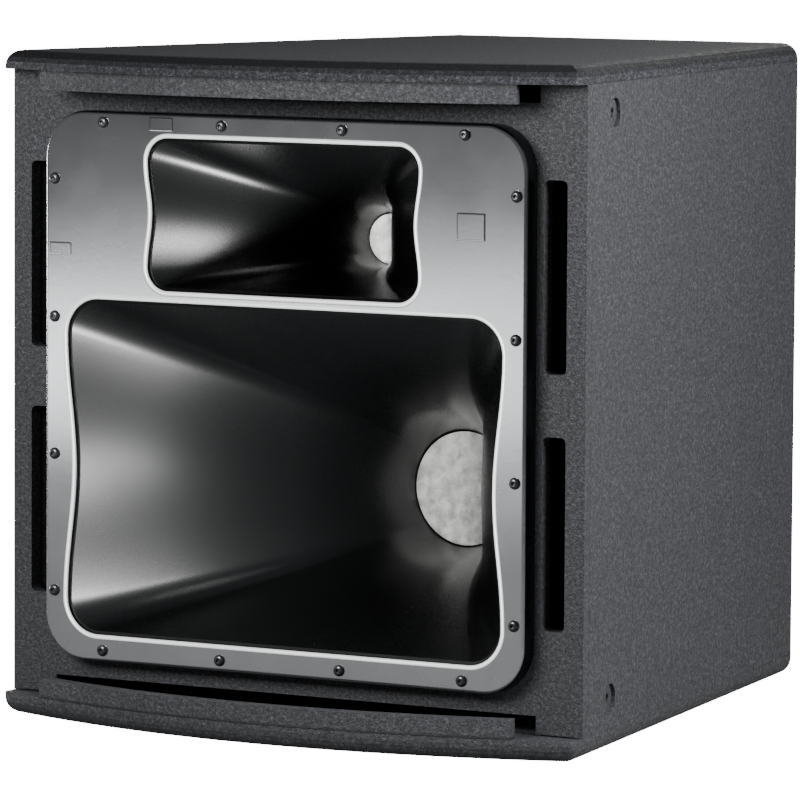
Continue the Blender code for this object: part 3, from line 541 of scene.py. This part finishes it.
def add_flange():
    """The silver face: a flat plate with rounded edges and rolled mouths."""
    bm = bmesh.new()
    outer = rounded_rectangle(FLANGE_HALF, FLANGE_HALF, FLANGE_RADIUS, steps=20)
    walls = [(rim_rings(outer, FLANGE_EDGE, 6, -1), outer)]
    for horn in HORNS:
        mouth = shifted(mouth_outline(horn), horn.mouth_z)
        walls.append((rim_rings(mouth, MOUTH_ROUNDING, 8, 1), mouth))
    for centre in screw_positions():
        hole = circle(SCREW_HOLE_RADIUS, 24, centre)
        walls.append(([upright(hole, 0.0)], hole))
    fronts, backs = [], []
    for rings, outline in walls:
        loops = add_rings(bm, rings + [upright(outline, FLANGE_THICKNESS)])
        for first, second in zip(loops, loops[1:]):
            bridge(bm, first, second)
        fronts.append(loops[0])
        backs.append(loops[-1])
    fill(bm, fronts)
    fill(bm, backs)
    add_piece("waveguide_face", bm, "silver_paint", replaces=["waveguide_flange"])
    for horn in HORNS:
        add_bead(horn)


def add_bead(horn):
    """The rolled edge of a mouth: a half-round bead just proud of the face, in a near-white finish
    that paints its highlight.
    """
    mouth = shifted(mouth_outline(horn), horn.mouth_z)
    section = []
    for step in range(13):
        angle = math.pi * step / 12
        section.append((BEAD_MIDDLE - BEAD_HALF_WIDTH * math.cos(angle),
                        BEAD_SEAT - BEAD_HEIGHT * math.sin(angle)))
    rings = [upright(offset(mouth, grow), y) for grow, y in section]
    rings.append(upright(offset(mouth, BEAD_MIDDLE), BEAD_SEAT + 0.0012))
    add_piece(f"{horn.name}_bead", stack(rings, closed=True), "silver_paint", finish=RIM)


def hexagon(radius, y):
    """A six-sided ring with as many points as a round one, so that the two join."""
    points = []
    for x, z in circle(1.0, ROUND):
        angle = (math.atan2(z, x) % (math.pi / 3)) - math.pi / 6
        reach = radius * math.cos(math.pi / 6) / math.cos(angle)
        points.append((x * reach, z * reach))
    return upright(points, y)


def screw_mesh():
    """A dome-head screw with a hexagon socket, its head towards local -Y."""
    shank = [(BOLT_SHANK, BOLT_LENGTH), (BOLT_SHANK, -0.3)]
    dome = [(6.45, -0.3), (6.5, -0.7), (6.3, -1.5), (5.9, -2.3), (5.2, -3.1), (4.4, -3.7),
            (3.5, -4.1), (2.7, -4.25)]
    rings = [upright(circle(r * MM, ROUND), y * MM) for r, y in shank + dome]
    rings += [hexagon(BOLT_SOCKET * MM, -4.15 * MM), hexagon((BOLT_SOCKET - 0.1) * MM, -1.9 * MM),
              upright([(0.0, 0.0)], -1.5 * MM)]
    return stack(rings)


def add_screws():
    bm = screw_mesh()
    bmesh.ops.recalc_face_normals(bm, faces=bm.faces)
    mesh = bpy.data.meshes.new("flange_bolt")
    bm.to_mesh(mesh)
    bm.free()
    mesh.shade_smooth()
    mesh.set_sharp_from_angle(angle=BOLT_SHARP_ANGLE)
    mesh.materials.append(MATERIALS["black_screw"])
    for number, (x, z) in enumerate(screw_positions(), start=1):
        bolt = bpy.data.objects.new(f"flange_bolt_{number:02d}", mesh)
        place(bolt, "black_screw", CABINET, [f"flange_screw_{number:02d}"], (x, 0.0, z))


def add_badges():
    """Blank plates with a raised border, where the real waveguide carries lettering."""
    badges = (("badge_top", -0.1537, 0.2920, 0.0148, 0.0075),
              ("badge_left", -0.2848, 0.1516, 0.0141, 0.0072),
              ("badge_right", 0.2365, 0.1944, 0.0173, 0.0149))
    for name, x, z, half_x, half_z in badges:
        outline = rounded_rectangle(half_x, half_z, 0.0015, (x, z))
        low = BADGE_HEIGHT - 0.0004
        rings = [upright(outline, 0.0), upright(outline, -low),
                 upright(offset(outline, -0.0006), -BADGE_HEIGHT),
                 upright(offset(outline, -0.0014), -BADGE_HEIGHT),
                 upright(offset(outline, -0.0018), -low)]
        add_piece(name, stack(rings), "silver_paint")


def add_screens():
    """Cloth-faced discs with a softened edge, one at each throat."""
    front = -SCREEN_THICKNESS
    for horn, radius in zip(HORNS, SCREEN_RADII):
        word = horn.name[:2]
        where = (0.0, horn.depth, horn.throat_z)
        face = [(0, front)] + [(radius * share, front) for share in (0.3, 0.6, 0.85)]
        face += [(radius - 1.6, front), (radius - 1.0, front + 0.4), (radius, front + 0.8),
                 (radius, 0), (0, 0)]
        add_piece(f"{word}_screen", turned(face, 64), "pale_screen",
                  replaces=[f"{word}_throat_screen"], location=where)


# ---------------------------------------------------------------- suspension points
HALF_WIDTH = 0.3630
BAFFLE_Y = 0.025
SIDE_TAPER = math.radians(9.7)
RIG_Y, RIG_Z = 0.115, 0.315
RIG_FACE = 4.0                      # mm below the side panel's face
RIG_PLATE = 1.9                     # mm
RIG_RADIUS, RIG_SLEEVE_RADIUS, RIG_LENGTH = 15.7, 7.0, 17.0     # mm
THREAD_CREST, THREAD_ROOT, THREAD_PITCH = 4.3, 5.0, 1.5     # mm
THREAD_TURNS = 8


def add_suspension_points():
    """Painted inserts in the side panels, each with a threaded bore painted near black as shade."""
    bore = [(THREAD_ROOT + 0.3, -RIG_FACE)]
    for turn in range(THREAD_TURNS):
        depth = -RIG_FACE - 0.7 - turn * THREAD_PITCH
        bore += [(THREAD_CREST, depth), (THREAD_ROOT, depth - THREAD_PITCH / 2)]
    under = -RIG_FACE - RIG_PLATE
    profile = bore + [(THREAD_CREST, -RIG_LENGTH), (RIG_SLEEVE_RADIUS, -RIG_LENGTH),
                      (RIG_SLEEVE_RADIUS, under), (RIG_RADIUS, under),
                      (RIG_RADIUS, -RIG_FACE - 0.7), (RIG_RADIUS - 0.2, -RIG_FACE - 0.2),
                      (RIG_RADIUS - 0.7, -RIG_FACE)]
    across = HALF_WIDTH - (RIG_Y - BAFFLE_Y) * math.tan(SIDE_TAPER)
    for side, side_word in ((-1, "left"), (1, "right")):
        for up, word in ((1, "upper"), (-1, "lower")):
            add_piece(f"{side_word}_insert_{word}", turned(profile, closed=True), "zinc_steel",
                      replaces=[f"{side_word}_suspension_point_{word}"],
                      location=(side * across, RIG_Y, up * RIG_Z),
                      turn=side * (SIDE_TAPER - math.pi / 2), finish=INSERT_COATING)


# ---------------------------------------------------------------- connector dish
DISH_LOW, DISH_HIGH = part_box("input_dish")
DISH_Z = (DISH_LOW.z + DISH_HIGH.z) / 2 - ORIGIN.z
DISH_LIP_Y = DISH_HIGH.y - ORIGIN.y
DISH_FLOOR_Y = DISH_LIP_Y - 0.042
DISH_PLATE = 0.0016                 # thickness of its flange
DISH_WALL = 0.003
DISH_RECESS = (0.080, 0.055)
DISH_FLANGE = (0.100, 0.075)
DISH_SCREWS_AT = (0.090, 0.065)
DISH_CORNER = 0.006
DISH_LIP_DROP = 0.0012              # the moulded lip lies this far below the CAD one
SOCKETS_X = (-0.050, -0.012)
SWITCH_X = 0.045
CONTROLS_Z = DISH_Z + 0.022
STRIP_Z = DISH_Z - 0.028
TERMINALS = 6
STRIP_PITCH = 0.1 / TERMINALS
STRIP_HEIGHT = 0.008
SOCKET_HOLE, SOCKET_BODY, SOCKET_DEPTH = 0.0124, 0.0118, 0.025
SOCKET_PLATE = (0.0130, 0.0155)
CONTACT_RING = 0.0091               # radius of the ring of contacts
SWITCH_HOLE = 0.005
COVER_HALF_LENGTH = 0.053
COVER_HINGE = (DISH_FLOOR_Y + 0.0028, DISH_Z - 0.012)
LUG_WIDTH, LUG_REACH = 0.0032, 0.0026
DISH_SCREW, SOCKET_SCREW, TERMINAL_SCREW = 2.2, 1.7, 3.9    # mm, radii of their heads


def small_screw(radius):
    """A low domed screw with a hexagon socket, its head towards local +Y."""
    scale = radius / 6.5
    dome = [(6.5, 0.0), (6.4, 0.8), (5.9, 2.0), (4.6, 3.0), (3.4, 3.4)]
    rings = [upright([(0.0, 0.0)], 0.0)]
    rings += [upright(circle(r * scale * MM, ROUND), y * scale * MM) for r, y in dome]
    rings += [hexagon(2.9 * scale * MM, 3.3 * scale * MM), hexagon(2.8 * scale * MM, 1.2 * scale * MM),
              upright([(0.0, 0.0)], 1.0 * scale * MM)]
    return stack(rings)


def block(low, high):
    corners = [(low[0], low[2]), (high[0], low[2]), (high[0], high[2]), (low[0], high[2])]
    return stack([upright(corners, low[1]), upright(corners, high[1])])


def add_dish():
    """The moulded dish, with its rounded lip, its floor, the holes in the floor and its screws."""
    def loop(half, grow, y):
        return upright(rounded_rectangle(half[0] + grow, half[1] + grow,
                                         DISH_CORNER + max(grow, -0.004), (0.0, DISH_Z), 8), y)

    top = DISH_LIP_Y - DISH_LIP_DROP
    under = top - DISH_PLATE
    back = DISH_FLOOR_Y - DISH_WALL
    bm = bmesh.new()
    shell = add_rings(bm, [
        loop(DISH_RECESS, -0.002, DISH_FLOOR_Y), loop(DISH_RECESS, -0.0006, DISH_FLOOR_Y + 0.0006),
        loop(DISH_RECESS, 0.0, DISH_FLOOR_Y + 0.002), loop(DISH_RECESS, 0.0, top - 0.0015),
        loop(DISH_RECESS, 0.0005, top - 0.0004), loop(DISH_RECESS, 0.0015, top),
        loop(DISH_FLANGE, -0.0012, top), loop(DISH_FLANGE, -0.0003, top - 0.0004),
        loop(DISH_FLANGE, 0.0, top - 0.0012), loop(DISH_FLANGE, 0.0, under),
        loop(DISH_RECESS, DISH_WALL, under), loop(DISH_RECESS, DISH_WALL, back)])
    for first, second in zip(shell, shell[1:]):
        bridge(bm, first, second)
    holes = [circle(SOCKET_HOLE, ROUND, (x, CONTROLS_Z)) for x in SOCKETS_X]
    holes.append(circle(SWITCH_HOLE, ROUND, (SWITCH_X, CONTROLS_Z)))
    walls = [add_rings(bm, [upright(hole, DISH_FLOOR_Y), upright(hole, back)]) for hole in holes]
    for near, far in walls:
        bridge(bm, near, far)
    fill(bm, [shell[0]] + [near for near, far in walls])
    fill(bm, [shell[-1]] + [far for near, far in walls])
    add_piece("dish_moulding", bm, "black_plastic", replaces=["input_dish"])
    across, up = DISH_SCREWS_AT
    places = [(sx * across, DISH_Z + sz * up) for sx in (-1, 0, 1) for sz in (-1, 1)]
    for number, (x, z) in enumerate(places, start=1):
        add_piece(f"dish_screw_{number}", small_screw(DISH_SCREW), "black_screw", location=(x, top, z))


def add_sockets():
    """Round twist-lock sockets on square plates, with contacts along the channel."""
    plate = rounded_rectangle(*SOCKET_PLATE, 0.0025, steps=ROUND // 4 - 1)
    body = circle(SOCKET_BODY, ROUND)
    rings = [upright(body, -SOCKET_DEPTH), upright(body, GAP), upright(plate, GAP),
             upright(plate, 0.0018), upright(offset(plate, -0.0006), 0.0025)]
    bezel = [(12.2, 2.5), (12.0, 4.0), (11.5, 4.5), (10.4, 4.5)]
    channel = [(9.8, 3.9), (9.8, -18), (3.0, -18), (3.0, 2.6), (2.6, 3.0)]
    rings += [upright(circle(r * MM, ROUND), y * MM) for r, y in bezel + channel]
    rings.append(upright([(0.0, 0.0)], 0.003))
    for word, x in zip(("left", "right"), SOCKETS_X):
        where = (x, DISH_FLOOR_Y, CONTROLS_Z)
        add_piece(f"socket_{word}", stack(rings), "black_plastic",
                  replaces=[f"speaker_socket_{word}"], location=where)
        for number in range(4):
            angle = math.pi / 4 + number * math.pi / 2
            reach = (x + CONTACT_RING * math.cos(angle), DISH_FLOOR_Y,
                     CONTROLS_Z + CONTACT_RING * math.sin(angle))
            add_piece(f"contact_{word}_{number + 1}",
                      block((-0.0006, -0.0175, -0.0006), (0.0006, -0.003, 0.0006)), "copper_wire",
                      location=reach)
        for number, (sx, sz) in enumerate(((-1, 1), (1, -1)), start=1):
            add_piece(f"socket_screw_{word}_{number}", small_screw(SOCKET_SCREW), "zinc_steel",
                      location=(x + sx * 0.0107, DISH_FLOOR_Y + 0.0025, CONTROLS_Z + sz * 0.0131))


def add_knob():
    """The mode switch's knob: a ribbed skirt, a grip bar and a pale pointer."""
    sides = 2 * ROUND

    def skirt(radius, y, groove=0.0):
        points = []
        for i, (x, z) in enumerate(circle(1.0, sides)):
            reach = (radius - groove * (i % 4 < 2)) * MM
            points.append((x * reach, z * reach))
        return upright(points, y * MM)

    def grip(grow, y):
        return upright(rounded_rectangle(0.0095 + grow, 0.0030 + grow, 0.0018,
                                         steps=sides // 4 - 1), y * MM)

    rings = [skirt(3.0, -11.3), skirt(3.0, 1.0), skirt(11.0, 1.0, 0.4), skirt(11.0, 3.2, 0.4),
             skirt(10.4, 4.0), grip(0.0, 4.0), grip(-0.0003, 13.2), grip(-0.0009, 14.0)]
    where = (SWITCH_X, DISH_FLOOR_Y, CONTROLS_Z)
    add_piece("knob", stack(rings), "black_plastic", "mode_switch_knob",
              replaces=["mode_switch_knob"], location=where)
    add_piece("knob_pointer", block((0.0020, 0.01390, -0.0005), (0.0084, 0.01415, 0.0005)),
              "pale_screen", "mode_switch_knob", location=where)


def add_terminals():
    """Screws on the barrier strip, and the lugs that its cover hinges on."""
    for number in range(TERMINALS):
        x = (number - (TERMINALS - 1) / 2) * STRIP_PITCH
        add_piece(f"terminal_screw_{number + 1}", small_screw(TERMINAL_SCREW), "zinc_steel",
                  location=(x, DISH_FLOOR_Y + STRIP_HEIGHT, STRIP_Z))
    hinge_y, hinge_z = COVER_HINGE
    for word, side in (("left", -1), ("right", 1)):
        near = COVER_HALF_LENGTH + 0.0004
        edges = sorted((side * near, side * (near + LUG_WIDTH)))
        add_piece(f"hinge_lug_{word}",
                  block((edges[0], DISH_FLOOR_Y, hinge_z - LUG_REACH),
                        (edges[1], hinge_y + LUG_REACH, hinge_z + LUG_REACH)), "black_plastic")


for each_horn in HORNS:
    add_horn(each_horn)
add_flange()
add_screws()
add_badges()
add_screens()
add_suspension_points()
add_dish()
add_sockets()
add_knob()
add_terminals()


# ---------------------------------------------------------------- camera, stage and lights
CAMERA_AZIMUTH, CAMERA_ELEVATION, CAMERA_ROLL = 30.264, 5.258, 0.338     # degrees
CAMERA_DISTANCE = 6.688
CAMERA_LENS = 280.91
CAMERA_TARGET = ORIGIN + Vector((0.1505, 0.0, 0.0057))


def add_camera():
    azimuth, elevation, roll = (math.radians(a) for a in (CAMERA_AZIMUTH, CAMERA_ELEVATION,
                                                          CAMERA_ROLL))
    back = Vector((math.sin(azimuth) * math.cos(elevation),
                   -math.cos(azimuth) * math.cos(elevation), math.sin(elevation)))
    level_right = (-back).cross(Vector((0.0, 0.0, 1.0))).normalized()
    level_up = level_right.cross(-back)
    right = math.cos(roll) * level_right + math.sin(roll) * level_up
    up = math.cos(roll) * level_up - math.sin(roll) * level_right
    camera = bpy.data.objects.new("camera", bpy.data.cameras.new("camera"))
    bpy.context.scene.collection.objects.link(camera)
    camera.data.lens = CAMERA_LENS
    camera.data.clip_end = 100.0
    camera.matrix_world = Matrix.Translation(CAMERA_TARGET + CAMERA_DISTANCE * back) @ (
        Matrix((right, up, back)).transposed().to_4x4())
    bpy.context.scene.camera = camera


def add_light(name, location, aim, size, watts, only=()):
    """A soft rectangular lamp, placed and aimed from ORIGIN. With only, it lights those pieces."""
    lamp = bpy.data.lights.new(name, "AREA")
    lamp.shape = "RECTANGLE"
    lamp.size, lamp.size_y = size
    lamp.energy = watts
    light = bpy.data.objects.new(name, lamp)
    bpy.context.scene.collection.objects.link(light)
    light.location = ORIGIN + Vector(location)
    light.rotation_euler = (Vector(aim) - Vector(location)).to_track_quat("-Z", "Y").to_euler()
    light.visible_camera = False
    if only:
        lit = bpy.data.collections.new(f"lit_by_{name}")
        for piece in only:
            lit.objects.link(piece)
        light.light_linking.receiver_collection = lit


FLOOR_GLOW = 16.0                   # lifts the pale floor towards white, as the camera sees it


def add_stage():
    floor_mesh = bpy.data.meshes.new("floor")
    bm = bmesh.new()
    bmesh.ops.create_circle(bm, cap_ends=True, radius=30.0, segments=96)
    bm.to_mesh(floor_mesh)
    bm.free()
    floor = bpy.data.objects.new("floor", floor_mesh)
    bpy.context.scene.collection.objects.link(floor)
    paint = bpy.data.materials.new("pale_floor")
    paint.use_nodes = True
    tree = paint.node_tree
    shader = tree.nodes["Principled BSDF"]
    shader.inputs["Base Color"].default_value = (0.19, 0.19, 0.19, 1.0)
    shader.inputs["Roughness"].default_value = 0.9
    shader.inputs["Emission Color"].default_value = (1.0, 1.0, 1.0, 1.0)
    path = tree.nodes.new("ShaderNodeLightPath")
    glow = tree.nodes.new("ShaderNodeMath")
    glow.operation = "MULTIPLY"
    glow.inputs[1].default_value = FLOOR_GLOW
    tree.links.new(path.outputs["Is Camera Ray"], glow.inputs[0])
    tree.links.new(glow.outputs[0], shader.inputs["Emission Strength"])
    floor_mesh.materials.append(paint)
    floor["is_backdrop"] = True


def set_world(seen, lit):
    """A plain background: bright where the camera sees it, dimmer as a source of light."""
    world = bpy.data.worlds.new("studio")
    bpy.context.scene.world = world
    world.use_nodes = True
    tree = world.node_tree
    tree.nodes.clear()
    path = tree.nodes.new("ShaderNodeLightPath")
    strengths = []
    for value in (lit, seen):
        background = tree.nodes.new("ShaderNodeBackground")
        background.inputs["Color"].default_value = (1.0, 1.0, 1.0, 1.0)
        background.inputs["Strength"].default_value = value
        strengths.append(background)
    mix = tree.nodes.new("ShaderNodeMixShader")
    output = tree.nodes.new("ShaderNodeOutputWorld")
    tree.links.new(path.outputs["Is Camera Ray"], mix.inputs[0])
    tree.links.new(strengths[0].outputs[0], mix.inputs[1])
    tree.links.new(strengths[1].outputs[0], mix.inputs[2])
    tree.links.new(mix.outputs[0], output.inputs[0])


add_camera()
add_stage()
set_world(seen=14.0, lit=0.15)
HORN_PIECES = [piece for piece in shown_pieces() if piece.name.endswith(("horn_shell", "screen"))]
BEADS = [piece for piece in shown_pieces() if piece.name.endswith("bead")]
FACE_PIECES = [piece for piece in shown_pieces()
               if piece.name.startswith(("waveguide_face", "badge", "flange_bolt"))]
SCREENS = [piece for piece in HORN_PIECES if piece.name.endswith("screen")]
BOLTS = [piece for piece in FACE_PIECES if piece.name.startswith("flange_bolt")]
BODY_PIECES = [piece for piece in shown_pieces() if piece not in HORN_PIECES + FACE_PIECES + BEADS]
BODY_PIECES.append(bpy.data.objects["floor"])
add_light("side_soft", (1.75, 0.0, 0.85), (0.3, 0.3, 0.15), (0.9, 0.7), 92.0, BODY_PIECES)
add_light("front_soft", (-0.35, -1.7, 0.75), (0.0, 0.0, 0.15), (1.2, 0.7), 55.0, BODY_PIECES)
add_light("horn_side", (0.85, -0.25, -0.16), (-0.2, 0.05, -0.03), (0.5, 0.11), 4.2, HORN_PIECES)
add_light("horn_low", (0.8, -0.53, -0.35), (0.2, 0.02, 0.23), (0.4, 0.3), 36.0, HORN_PIECES)
add_light("screen_wash", (2.6, -4.23, 0.43), (0.0, 0.37, -0.07), (0.8, 0.8), 330.0, SCREENS)
add_light("hf_wash", (2.6, -4.23, 0.43), (0.0, 0.24, 0.16), (0.6, 0.6), 560.0,
          [piece for piece in SCREENS if piece.name == "hf_screen"])
add_light("face_strip", (-0.39, -0.645, -0.02), (0.0, 0.0, 0.01), (0.95, 0.17), 2.75, FACE_PIECES)
add_light("bolt_glint", (-0.3, -1.23, 0.73), (0.0, 0.0, 0.03), (0.35, 0.35), 90.0, BOLTS)
add_light("bead_wash", (0.2, -2.13, 0.13), (0.0, 0.0, 0.03), (1.5, 1.5), 150.0, BEADS)
add_light("back_low", (-1.4, 3.2, 0.12), (0.0, 0.6, -0.1), (1.6, 0.5), 60.0)
add_light("back_high", (-0.65, 3.87, 2.13), (0.0, 0.37, 0.03), (0.7, 1.5), 34.0)
add_light("left_soft", (-3.0, 1.0, 0.1), (-0.2, 0.3, 0.0), (1.4, 0.6), 80.0)
